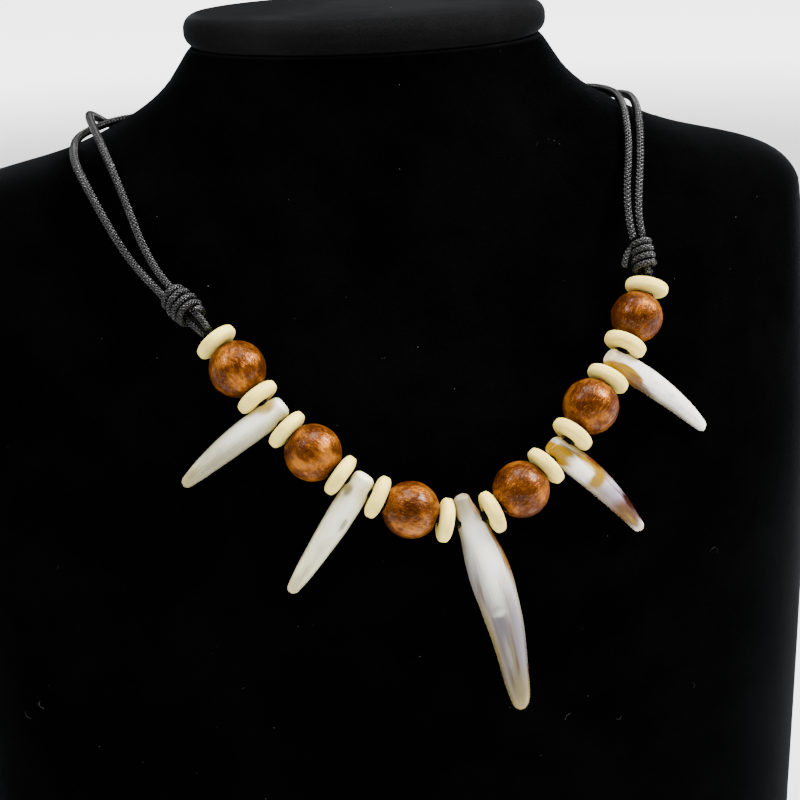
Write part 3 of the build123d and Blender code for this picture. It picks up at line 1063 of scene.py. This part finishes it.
# A knot: the disc beside it, where the two cords leave it, how far its barrel of windings lies
# up its axis, the windings, and the straight runs of cord on the knot, in millimetres
Knot = namedtuple("Knot", "disc cords_leave barrel winding runs")
KNOTS = {
    "knot_left": Knot(
        "bead_disc_1", (-0.04683, -0.03882, 0.17061), 1.9 * MM,
        Winding(2.85 * MM, 4.3, 0.6, 7.1 * MM, 0.30, 0.17),
        (
            (
                (1.2, 0.5, -5.9), (1.3, 0.9, -4.4), (1.1, 1.0, -2.6), (0.6, 0.9, 1.5),
                (0.9, 0.8, 5.6),
            ),
            (
                (0.2, -1.0, -5.9), (0.6, -1.1, -4.4), (0.6, -1.3, -2.6), (-0.6, -0.9, 1.5),
                (-0.9, -0.8, 5.6),
            ),
            ((-1.3, 0.3, -5.9), (-1.3, 0.2, -4.0), (-1.0, 0.2, -1.0)),
        ),
    ),
    "knot_right": Knot(
        "bead_disc_12", (0.05549, -0.03505, 0.1760), -0.1 * MM,
        Winding(2.2 * MM, 3.9, 2.2, 6.3 * MM, 0.22, 0.12),
        (
            ((0.9, 0.4, -4.0), (0.9, 0.5, -1.0), (0.8, 0.6, 1.5), (0.9, 0.7, 3.9)),
            ((-0.9, -0.4, -4.0), (-0.9, -0.5, -1.0), (-0.8, -0.6, 1.5), (-0.9, -0.7, 3.9)),
            ((0.4, -1.6, 2.4), (0.9, -3.0, 1.6), (1.0, -4.0, 0.0), (0.8, -4.6, -1.8)),
        ),
    ),
}


class NECKLACE_OT_knots(NecklaceOperator, bpy.types.Operator):
    """Winds the two sliding knots, each with a cut tail"""

    bl_idname = "necklace.knots"
    bl_label = "Knots"

    def execute(self, context):
        finish = waxed_material(self.colours)
        for name, knot in KNOTS.items():
            # z runs from the beads to the cords, and x off the chest
            outward = (Vector(knot.cords_leave) - middle_of(knot.disc)).normalized()
            matrix = place_on_axis(middle_of(name), outward, Vector((0.0, -1.0, 0.2)))
            barrel = matrix @ Matrix.Translation((0, 0, knot.barrel))
            lines = [smooth_line(wound_line(barrel, knot.winding))]
            for run in knot.runs:
                lines.append(smooth_line([matrix @ (Vector(point) * MM) for point in run]))
            piece = braid(f"wound_{name}", lines, self.sizes.wrap_diameter, finish)
            own(piece, "waxed_cord", name)
        return {"FINISHED"}


class NECKLACE_OT_bust(NecklaceOperator, bpy.types.Operator):
    """Gives the bust and its cap their velvet"""

    bl_idname = "necklace.bust"
    bl_label = "Velvet bust"

    def execute(self, context):
        velvet = velvet_material(self.colours)
        for name in BUST:
            dress(name, velvet)
        return {"FINISHED"}


def strewn_lint(nodes, inputs):
    """Strews specks and bent fibres over a surface."""
    radius, reach = inputs["Speck Radius"], inputs["Fibre Length"]
    speck = nodes.shape("MeshIcoSphere", Radius=radius, Subdivisions=1)
    bow = nodes.shape(
        "CurveQuadraticBezier",
        Resolution=6,
        Start=nodes.vector(reach * -0.5, 0.0, 0.0),
        Middle=nodes.vector(reach * 0.15, reach * 0.55, reach * 0.3),
        End=nodes.vector(reach * 0.5, reach * -0.1, reach * 0.12),
    )
    fibre = nodes.tube(bow, 3, radius * 0.3)
    kinds = []
    for kind, density, piece, low, high in (
        (0, inputs["Specks"], speck, 0.35, 1.3),
        (1, inputs["Fibres"], fibre, 0.4, 1.5),
    ):
        seed = inputs["Seed"] + kind
        spread = nodes.shape(
            "DistributePointsOnFaces", {"distribute_method": "RANDOM"},
            Mesh=inputs["Geometry"], Density=density, Seed=seed,
        )
        size = nodes.chance(seed, low, high)
        strewn = nodes.shape(
            "InstanceOnPoints", Points=spread["Points"], Instance=piece,
            Rotation=spread["Rotation"], Scale=nodes.vector(size, size, size),
        )
        turn = nodes.vector(0.0, 0.0, nodes.chance(seed + 5, 0.0, math.tau))
        kinds.append(nodes.shape("RotateInstances", Instances=strewn, Rotation=turn))
    return nodes.joined(kinds)


class NECKLACE_OT_lint(NecklaceOperator, bpy.types.Operator):
    """Strews a little lint over the velvet"""

    bl_idname = "necklace.lint"
    bl_label = "Lint"

    def execute(self, context):
        vertices, faces = [], []
        for name in BUST:
            start = len(vertices)
            vertices += list(vertices_of(name))
            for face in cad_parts[name].data.polygons:
                if face.center.z > MM:  # the base stands on the floor and keeps clean
                    faces.append([start + k for k in face.vertices])
        source = mesh_object("lint_surface", vertices, faces)
        values = {
            "Specks": self.sizes.lint_specks,
            "Fibres": self.sizes.lint_fibres,
            "Seed": LINT_SEED,
            "Speck Radius": 0.11 * MM,
            "Fibre Length": 1.6 * MM,
            "Material": lint_material(),
        }
        piece = grow("lint", source, strewn_lint, values)
        mend(piece.data, face_outwards)
        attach(piece, BODY)
        return {"FINISHED"}


class NECKLACE_OT_round_beads(NecklaceOperator, bpy.types.Operator):
    """Turns the six lacquered wooden beads"""

    bl_idname = "necklace.round_beads"
    bl_label = "Round beads"

    def execute(self, context):
        nodes = [f"bead_round_{k}" for k in BALLS]
        shrunk = self.sizes.last_ball_diameter / self.sizes.ball_diameter
        sizes = [1.0] * (len(nodes) - 1) + [shrunk]
        profile, finish = ball_profile(self.sizes), wood_material(self.colours)
        piece = string_of_beads("wooden_beads", nodes, profile, sizes, ROUND_SEED, finish)
        own(piece, "wood", *nodes)
        return {"FINISHED"}


class NECKLACE_OT_discs(NecklaceOperator, bpy.types.Operator):
    """Turns the twelve ivory discs"""

    bl_idname = "necklace.discs"
    bl_label = "Discs"

    def execute(self, context):
        nodes = [f"bead_disc_{k}" for k in DISCS]
        profile, finish = disc_profile(self.sizes), ivory_material(self.colours)
        sizes = [1.0] * len(nodes)
        piece = string_of_beads("ivory_discs", nodes, profile, sizes, DISC_SEED, finish)
        own(piece, "ivory", *nodes)
        return {"FINISHED"}


# How far each tooth's sides stand out beside its hole. along and length are shares of the tooth.
Swell = namedtuple("Swell", "along length reach")
SWELLS = {
    1: Swell(0.10, 0.11, 0.30 * MM),
    2: Swell(0.09, 0.11, 0.30 * MM),
    3: Swell(0.11, 0.06, 0.34 * MM),
    4: Swell(0.09, 0.11, 0.04 * MM),
    5: Swell(0.09, 0.11, 0.10 * MM),
}


def plug_bore(working, hole, thread, reach):
    """Takes out the walls of a tooth's bore and closes its two mouths."""
    walls = []
    for face in working.faces:
        away = face.calc_center_median() - hole
        away -= thread * away.dot(thread)
        inward = -away.normalized().dot(face.normal)
        if away.length < reach and inward > 0.5:
            walls.append(face)
    bmesh.ops.delete(working, geom=walls, context="FACES")
    mouths = [edge for edge in working.edges if edge.is_boundary]
    bmesh.ops.holes_fill(working, edges=mouths)


def remeshed(name, node, voxel, hole, thread, reach):
    """A smooth, even copy of a CAD tooth's mesh, with the bore closed."""
    copy = link(bpy.data.objects.new(name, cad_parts[node].data.copy()))
    mend(copy.data, lambda working: plug_bore(working, hole, thread, reach))
    copy.data.materials.clear()
    modifier = copy.modifiers.new("voxels", "REMESH")
    modifier.mode = "VOXEL"
    modifier.voxel_size = voxel
    modifier.use_smooth_shade = True
    relax = copy.modifiers.new("relax", "SMOOTH")
    relax.factor = 0.5
    relax.iterations = 4
    mesh = taken_mesh(copy)
    mesh.name = name
    return link(bpy.data.objects.new(name, mesh))


def carve(piece, places, right, depth, swell, seed):
    """Gives a tooth the long, shallow facets of worn shell, and fills it out at its hole."""
    points = coordinates(piece.data)
    normals = np.empty(points.size, np.float32)
    piece.data.vertex_normals.foreach_get("vector", normals)
    relief = []
    for along, across, front in places:
        swing = Vector((across, front, 0.0)).normalized()
        ridge = noise.noise(Vector((1.5 * swing.x, 1.5 * swing.y, 2.2 * along + seed)))
        dent = noise.noise(Vector((2.4 * swing.x, 2.4 * swing.y, 9.0 * along + seed)))
        relief.append(depth * (ridge + 0.35 * dent))
    near_hole = np.exp(-(((places[:, 0] - swell.along) / swell.length) ** 2))
    relief = (np.array(relief) * (1.0 - near_hole)).astype(np.float32)
    points += normals.reshape(-1, 3) * relief[:, None]
    points += np.outer(swell.reach * near_hole * places[:, 1], right).astype(np.float32)
    piece.data.vertices.foreach_set("co", points.ravel())
    piece.data.update()


def tooth_axes(number):
    """A tooth's hole, the thread's way through it, and its ways down, right and to the front."""
    left, right = (middle_of(f"bead_disc_{k}") for k in (2 * number, 2 * number + 1))
    thread = (right - left).normalized()
    hole = (left + right) / 2
    places = vertices_of(f"tooth_{number}") - np.array(hole)
    reaches = np.linalg.norm(places, axis=1)
    down = places[np.argmax(reaches)] / reaches.max()
    across = np.array(thread)
    across -= down * across.dot(down)
    across /= np.linalg.norm(across)
    return hole, thread, down, across, np.cross(down, across)


BANDS = 24  # along a tooth, for the middle and the half width at each height


def tooth_places(piece, hole, down, right, front):
    """Each point of a tooth as (along, across, front), measured on the tooth itself."""
    local = coordinates(piece.data).astype(float) - np.array(hole)
    depth = local @ down
    along = (depth - depth.min()) / (depth.max() - depth.min())
    heights = np.linspace(0.0, 1.0, BANDS + 1)
    band = np.clip((along * BANDS).round().astype(int), 0, BANDS)
    shares = []
    for values in (local @ right, local @ front):
        low = np.array([values[band == k].min() for k in range(BANDS + 1)])
        high = np.array([values[band == k].max() for k in range(BANDS + 1)])
        middle = np.interp(along, heights, (low + high) / 2)
        half = np.interp(along, heights, (high - low) / 2)
        shares.append((values - middle) / half)
    return np.column_stack((along, *shares))


class NECKLACE_OT_teeth(NecklaceOperator, bpy.types.Operator):
    """Carves and stains the five polished teeth, and paints light and shade on them"""

    bl_idname = "necklace.teeth"
    bl_label = "Teeth"

    def execute(self, context):
        for number in TEETH:
            hole, thread, down, across, front = tooth_axes(number)
            name = f"polished_tooth_{number}"
            voxel, reach = self.sizes.tooth_voxel, self.sizes.tooth_bore
            piece = remeshed(name, f"tooth_{number}", voxel, hole, thread, reach)
            places = tooth_places(piece, hole, down, across, front)
            carve(piece, places, across, self.sizes.tooth_relief, SWELLS[number], number)
            store(piece.data, "tooth", places)
            piece.data.materials.append(tooth_material(number, self.colours))
            own(piece, "tooth_shell", f"tooth_{number}")
        return {"FINISHED"}


class NECKLACE_PT_panel(bpy.types.Panel):
    """The necklace's sizes, colours and steps"""

    bl_idname = "NECKLACE_PT_panel"
    bl_label = "Tooth necklace"
    bl_space_type = "VIEW_3D"
    bl_region_type = "UI"
    bl_category = "Necklace"

    def draw(self, context):
        for group in ("necklace_sizes", "necklace_colours", "necklace_stage"):
            settings = getattr(context.scene, group)
            column = self.layout.column()
            for key in settings.__annotations__:
                column.prop(settings, key)
        for step in STEPS:
            self.layout.operator(step.bl_idname)


STEPS = (
    NECKLACE_OT_stage,
    NECKLACE_OT_cords,
    NECKLACE_OT_knots,
    NECKLACE_OT_bust,
    NECKLACE_OT_lint,
    NECKLACE_OT_round_beads,
    NECKLACE_OT_discs,
    NECKLACE_OT_teeth,
)
GROUPS = {
    "necklace_sizes": NecklaceSizes,
    "necklace_colours": NecklaceColours,
    "necklace_stage": NecklaceStage,
}


def register():
    for group in (*GROUPS.values(), *STEPS, NECKLACE_PT_panel):
        bpy.utils.register_class(group)
    for name, group in GROUPS.items():
        setattr(bpy.types.Scene, name, bpy.props.PointerProperty(type=group))


def unregister():
    for name in GROUPS:
        delattr(bpy.types.Scene, name)
    for group in (NECKLACE_PT_panel, *reversed(STEPS), *GROUPS.values()):
        bpy.utils.unregister_class(group)


def main():
    """Builds everything in order."""
    register()
    for step in STEPS:
        module, operator = step.bl_idname.split(".")
        getattr(getattr(bpy.ops, module), operator)()


if __name__ == "__main__":
    main()
